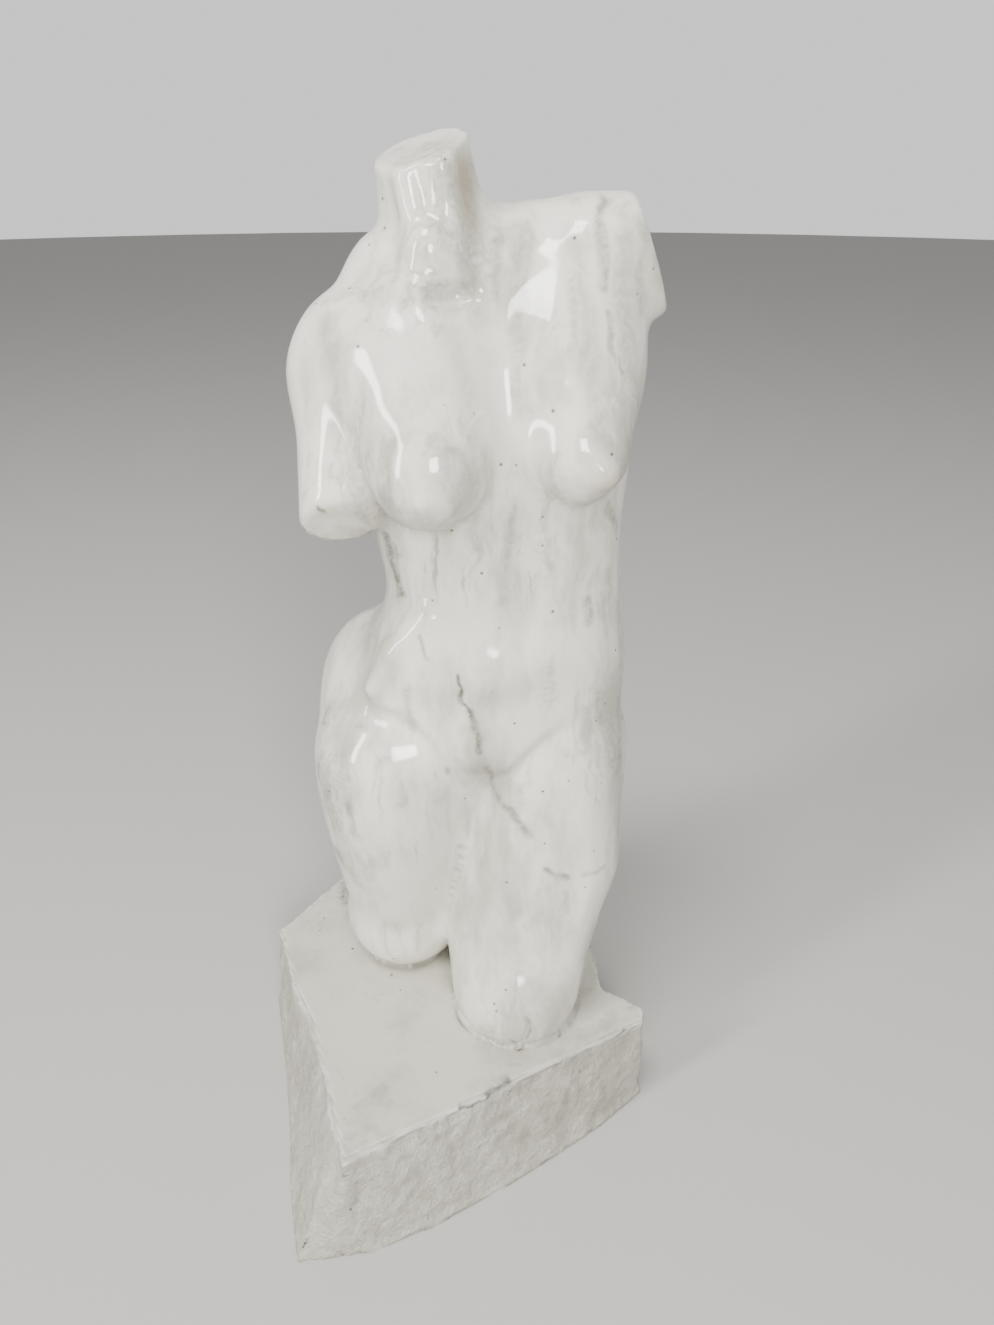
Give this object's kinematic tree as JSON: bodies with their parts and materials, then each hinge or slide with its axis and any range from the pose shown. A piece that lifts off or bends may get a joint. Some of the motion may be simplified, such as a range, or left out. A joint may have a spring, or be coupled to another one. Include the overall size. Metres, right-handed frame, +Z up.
{
  "type": "marble torso sculpture",
  "caption": "Kneeling female torso without head, left arm or right forearm, carved in polished white marble together with its rough-sided low plinth.",
  "frame": {"origin": "centre of the overall box at the underside of the plinth", "axes": "+Z up, -Y towards the front edge of the plinth, +X towards the figure's own left side"},
  "size_m": [0.208, 0.202, 0.4293],
  "materials": {
    "white_marble": "polished figure, honed plinth top, rough split plinth sides"
  },
  "bodies": {
    "root": {"torso_on_rough_plinth": "white_marble"}
  },
  "joints": []
}
